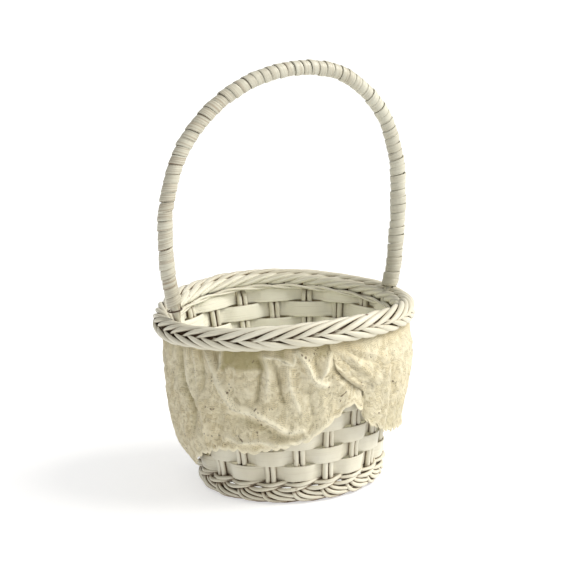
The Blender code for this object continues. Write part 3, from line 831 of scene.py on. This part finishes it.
def sheet_faces(columns, rows):
    """Two skins of a sheet and the strips that close its four edges."""
    index = np.arange(columns * rows).reshape(columns, rows)
    back = index + columns * rows

    def quads(a):
        return np.stack([a[:-1, :-1], a[1:, :-1], a[1:, 1:], a[:-1, 1:]], -1).reshape(-1, 4)

    border = np.concatenate([index[:, 0], index[-1, 1:], index[-2::-1, -1], index[0, -2:0:-1]])
    behind = border + columns * rows
    rim = np.stack([border, behind, np.roll(behind, -1), np.roll(border, -1)], -1)
    return np.vstack([quads(index), quads(back)[:, ::-1], rim])


def flutes(turn, z, fall):
    """Hanging pleats of uneven width and depth, shallow under the rim and deep at the hem."""
    drift = 0.9 * soft_noise(turn * 60, z, 34, 42)
    wide = 15 * turn + 1.7 * np.sin(3 * turn + 1.0) + 0.9 * np.sin(7 * turn) + drift
    narrow = 29 * turn + 2.2 * np.sin(4 * turn + 2.0) + 1.1 * np.sin(9 * turn) - 1.4 * drift
    crest = 1.9 * np.abs(np.cos(wide / 2)) ** 1.3 - 1.0
    deep = 3.0 + 1.3 * soft_noise(turn * 60, 0 * z, 21, 43)
    fine = 0.75 * np.cos(narrow) * (0.6 + 0.6 * soft_noise(turn * 60, z, 25, 44))
    return deep * crest * smoothstep(-8, 66, fall) + fine * smoothstep(-4, 24, fall)


def drape_radius(degrees, z, fall):
    """The lace's distance from the axis: its overall hang, gathers, named folds and crumples."""
    turned = (degrees + 180) % 360 - 180
    right = smoothstep(-50, 75, turned) * smoothstep(185, 125, turned)
    radius = along_knots(DRAPE_LEFT, z) * (1 - right) + along_knots(DRAPE_RIGHT, z) * right
    turn = np.radians(degrees)
    for folds, offset in ((SWAG_FOLDS, 360), (LAP_FOLDS, 0)):
        for knots in folds:
            radius = radius + fold(degrees - offset, z, knots)
    named = smoothstep(262, 300, degrees) + smoothstep(92, 70, degrees)
    free = 1 - np.clip(named, 0, 1)
    radius = radius + free * flutes(turn, z, fall)
    gathers = np.sin(47 * turn + 2.2 * np.sin(5 * turn)) * (0.4 + 0.6 * np.sin(9 * turn) ** 2)
    radius = radius + (0.7 + 0.7 * free) * gathers * np.exp(-fall / 16.0)
    x = degrees * MM_PER_DEGREE
    x = x + 2.5 * soft_noise(x, z, 18, 27)
    pleats = 0.8 * soft_noise(x, 0.25 * z, 4.6, 25) + 0.35 * soft_noise(x, 0.4 * z, 2.4, 26)
    radius = radius + pleats * (0.15 + 0.9 * np.exp(-fall / 20.0))
    crumple = 0.9 * soft_noise(x, z, 9, 21) + 0.35 * soft_noise(x, z, 3.4, 22)
    creases = np.abs(soft_noise(x + 3 * crumple, z, 6.5, 23))
    creases = creases + 0.6 * np.abs(soft_noise(x - 0.5 * z, z + 2 * crumple, 4.2, 28))
    radius = radius + (0.8 * crumple - 0.8 * creases + 0.4) * smoothstep(2, 25, fall)
    radius = radius + 1.5 * smoothstep(9, 0, z - along_knots(HEM, degrees))
    return radius


def glue_and_rim_shade(degrees, z):
    """How much glue and painted shade of the rim each point holds, in ragged patches under the rim."""
    ragged = 1.6 * soft_noise(degrees * MM_PER_DEGREE, z, 4, 45)
    across, up = degrees + ragged, z + ragged
    glued = np.zeros_like(degrees)
    for left, right, low, strength in GLUE_AND_SHADE_PATCHES:
        edge = min(5.0, (right - left) / 2)
        inside = smoothstep(left, left + edge, across) * smoothstep(right, right - edge, across)
        glued = np.maximum(glued, strength * inside * smoothstep(low, low + 4.5, up))
    return glued


def crest_highlights(degrees, z):
    """How much painted highlight each point gets, by how much it lies on the crest of a narrow fold."""
    narrow = [knots for knots in SWAG_FOLDS if knots[0] > 0 and knots[1] < CREST_WIDTH]
    lifted = sum(fold(degrees - 360, z, knots) for knots in narrow)
    return np.clip(lifted / 2.2, 0, 1) ** 1.5


def eyelet_strings(cloth_x, cloth_y):
    """Small worn holes in wandering strings of one to five."""
    eyelets = np.zeros_like(cloth_x)
    corners = (cloth_x.min(), 4), (cloth_x.max(), 74)
    for x, y in rng.uniform(*corners, (EYELET_STRINGS, 2)):
        heading, bend = rng.uniform(0, 2 * np.pi), rng.normal(0, 0.35)
        for size in rng.uniform(0.05, 0.90, rng.integers(1, 6)):
            away = np.hypot(cloth_x - x, cloth_y - y)
            eyelets = np.maximum(eyelets, smoothstep(size + 0.6, size - 0.3, away))
            step = rng.uniform(1.6, 4.5)
            x, y = x + step * np.cos(heading), y + step * np.sin(heading)
            heading = heading + bend + rng.normal(0, 0.5)
    return eyelets


def hung_strip():
    """The strip's grid: degrees around, height, fall below its top and height above its hem."""
    run = np.linspace(LAP_START, LAP_END, LACE_COLUMNS)
    run, down = np.meshgrid(run, np.linspace(0, 1, LACE_ROWS), indexing="ij")
    edge = run * MM_PER_DEGREE * GATHER
    scallop = SCALLOP_DEPTH * np.abs(np.sin(np.pi * edge / SCALLOP)) ** 0.8
    scallop = scallop + 1.0 * soft_noise(edge, 0 * run, 7, 41)
    hem = along_knots(HEM, run) + 1.0 - scallop
    top = rim_z(np.radians(run)) - 6.5 + 0.7 * np.sin(np.radians(11 * run))
    z = top + (hem - top) * down
    shift = along_knots(LAP_EDGE, z) - LAP_START
    degrees = run + shift * (1 - smoothstep(0, 60, run - LAP_START))
    return degrees, z, top - z, z - hem


def make_lace(materials):
    """One gathered strip glued under the rim; it starts in front, right, over its own end."""
    degrees, z, fall, above_hem = hung_strip()
    lapped = 0.5 + 1.3 * smoothstep(118, 106, z) * smoothstep(91, 101, z)
    radius = drape_radius(degrees, z, fall) + lapped * smoothstep(62, 34, degrees)
    radius = radius - 0.8 * smoothstep(372, 385, degrees)
    cloth_x, cloth_y = degrees * MM_PER_DEGREE * GATHER, above_hem + 0.5
    density = lace_pattern(cloth_x, cloth_y)
    density = np.maximum(density, smoothstep(2.6, 1.0, np.abs(cloth_y - 1.2)))
    density = np.maximum(density * smoothstep(1, 12, fall), 0.8 * smoothstep(2.4, 0.8, fall))
    clear = stake_radius(z) + SPLINT_OFFSET + SPLINT_HALF_THICKNESS + 0.6
    radius = np.maximum(radius + 0.35 * density, clear)
    sway = np.radians(1.2) * soft_noise(degrees * MM_PER_DEGREE, z, 16, 24)
    points = around(radius, np.radians(degrees) + sway, z)

    skin = unit(np.cross(np.gradient(points, axis=0), np.gradient(points, axis=1)))
    outward = around(1.0, np.radians(degrees), 0.0)
    skin = skin * np.sign((skin * outward).sum(-1, keepdims=True)) * LACE_HALF_THICKNESS
    vertices = np.concatenate([(points + skin).reshape(-1, 3), (points - skin).reshape(-1, 3)]) * MM
    mesh = bpy.data.meshes.new("lace_drape")
    mesh.from_pydata(vertices.tolist(), [], sheet_faces(LACE_COLUMNS, LACE_ROWS).tolist())
    looks = {
        "dense": density,
        "eyelet": eyelet_strings(cloth_x, cloth_y),
        # sunken parts of the sheet are marked for painted shade
        "hollow": np.clip(-(radius - along_knots(DRAPE_LEFT, z)) / 4.0, 0, 1),
        "glued": glue_and_rim_shade(degrees, z),
        "crest": crest_highlights(degrees, z),
    }
    for name, values in looks.items():
        layer = mesh.attributes.new(name, "FLOAT", "POINT")
        layer.data.foreach_set("value", np.tile(values.ravel(), 2))
    cloth = np.stack([cloth_x, cloth_y, np.zeros_like(cloth_x)], -1).reshape(-1, 3) * MM
    layer = mesh.attributes.new("cloth", "FLOAT_VECTOR", "POINT")
    layer.data.foreach_set("vector", np.tile(cloth, (2, 1)).ravel())
    mesh.shade_smooth()
    add_piece("lace_drape", mesh, materials["lace"], ["lace_ruffle"])


# ---- stage ---------------------------------------------------------------------------------


def make_floor():
    """A pale floor that glows a little, so that the shadow on it stays faint."""
    bpy.ops.mesh.primitive_plane_add(size=60.0, location=(0, 0, FLOOR_Z))
    floor = bpy.context.object
    floor.name = "floor"
    n = Nodes("pale_floor")
    fade = n.noise(n.add("ShaderNodeNewGeometry").outputs["Position"], 3.0)
    n.set(Base_Color=n.mix(fade, (0.59, 0.59, 0.587), (0.61, 0.61, 0.607)), Roughness=0.8)
    n.set(Emission_Color=(1.0, 1.0, 1.0, 1.0), Emission_Strength=FLOOR_GLOW)
    floor.data.materials.append(n.material)


def make_light():
    """A white sky, brighter towards the right, and one broad window at the right."""
    world = bpy.data.worlds.new("studio")
    world.use_nodes = True
    tree = world.node_tree
    facing = tree.nodes.new("ShaderNodeTexCoord").outputs["Generated"]
    sideways = tree.nodes.new("ShaderNodeVectorMath")
    sideways.operation = "DOT_PRODUCT"
    sideways.inputs[1].default_value = (SKY_SLOPE, -0.1 * SKY_SLOPE, 0.4 * SKY_SLOPE)
    tree.links.new(facing, sideways.inputs[0])
    strength = tree.nodes.new("ShaderNodeMath")
    strength.inputs[1].default_value = SKY
    tree.links.new(sideways.outputs["Value"], strength.inputs[0])
    background = tree.nodes["Background"]
    background.inputs["Color"].default_value = (1.0, 1.0, 1.0, 1.0)
    tree.links.new(strength.outputs[0], background.inputs["Strength"])
    bpy.context.scene.world = world
    window = bpy.data.lights.new("window", "SUN")
    window.energy = WINDOW
    window.angle = math.radians(40)
    window.color = (1.0, 0.97, 0.92)
    lamp = bpy.data.objects.new("window", window)
    lamp.rotation_euler = Vector(WINDOW_DIRECTION).to_track_quat("Z", "Y").to_euler()
    bpy.context.scene.collection.objects.link(lamp)
    bpy.context.scene.view_settings.view_transform = "Standard"


def make_camera():
    """The photograph's viewpoint: 13 degrees above the horizon, turned 2.7 degrees."""
    elevation, roll = math.radians(CAMERA_ELEVATION), math.radians(CAMERA_ROLL)
    back = Vector((0, -math.cos(elevation), math.sin(elevation)))
    right = Vector((1, 0, 0))
    up = back.cross(right)
    turned_right = right * math.cos(roll) + up * math.sin(roll)
    turned_up = up * math.cos(roll) - right * math.sin(roll)
    place = Vector((0, 0, CAMERA_AIM_Z)) + back * CAMERA_DISTANCE
    camera = bpy.data.objects.new("camera", bpy.data.cameras.new("camera"))
    camera.matrix_world = Matrix([
        (turned_right.x, turned_up.x, back.x, place.x),
        (turned_right.y, turned_up.y, back.y, place.y),
        (turned_right.z, turned_up.z, back.z, place.z),
        (0, 0, 0, 1),
    ])
    camera.data.sensor_fit = "HORIZONTAL"
    camera.data.sensor_width = 36.0
    camera.data.lens = CAMERA_LENS
    camera.data.shift_x, camera.data.shift_y = CAMERA_SHIFT
    camera.data.clip_start = 0.05
    bpy.context.scene.collection.objects.link(camera)
    bpy.context.scene.camera = camera


materials = make_materials()
make_stakes(materials)
make_splints(materials)
paint_cad_node("base_board", materials["board"])
make_twining(materials)
make_foot_rolls(materials)
make_rim(materials)
make_handle(materials)
make_lace(materials)
make_floor()
make_light()
make_camera()
